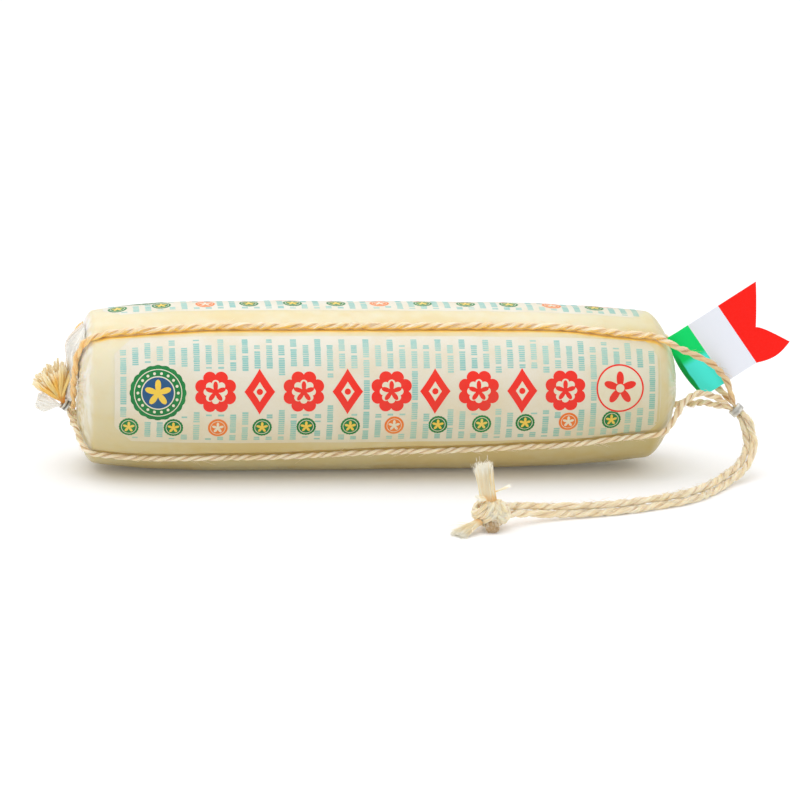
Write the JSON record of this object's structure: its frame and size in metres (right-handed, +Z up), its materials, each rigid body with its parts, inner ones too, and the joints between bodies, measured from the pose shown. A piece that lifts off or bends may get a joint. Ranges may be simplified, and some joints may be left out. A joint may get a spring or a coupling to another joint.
{
  "type": "provolone cheese log",
  "caption": "Film-wrapped log of provolone with sisal ropes tied along it, crimped clips at its ends, a hanging rope loop with its knot, and a swallowtail tag.",
  "frame": {"origin": "centre line of the flat strip under the log on which it rests, near the middle of its length", "axes": "+X along the log towards the hanging loop and the tag, +Z up, -Y towards the side that shows the main print"},
  "size_m": [0.5405, 0.2509, 0.1384],
  "materials": {
    "cheese": "cream-coloured cheese under clear, lightly wrinkled glossy film",
    "sisal": "two-ply twisted natural sisal",
    "fibre": "loose frayed sisal fibre",
    "clip_metal": "dull crimped aluminium",
    "film": "clear thin film",
    "tag_plastic": "smooth printed plastic sheet in green, white and red"
  },
  "bodies": {
    "root": {"cheese_log": "cheese", "rope_front_upper": "sisal", "rope_back_upper": "sisal", "rope_back_lower": "sisal", "rope_front_lower": "sisal", "clip_left": "clip_metal", "clip_right": "clip_metal", "tuft_left": "fibre", "film_tail": "film", "loop_rope_inner": "sisal", "loop_rope_outer": "sisal", "loop_knot": "sisal", "knot_tuft": "fibre", "knot_tail": "fibre", "knot_stub": "sisal", "tag": "tag_plastic"}
  },
  "joints": []
}
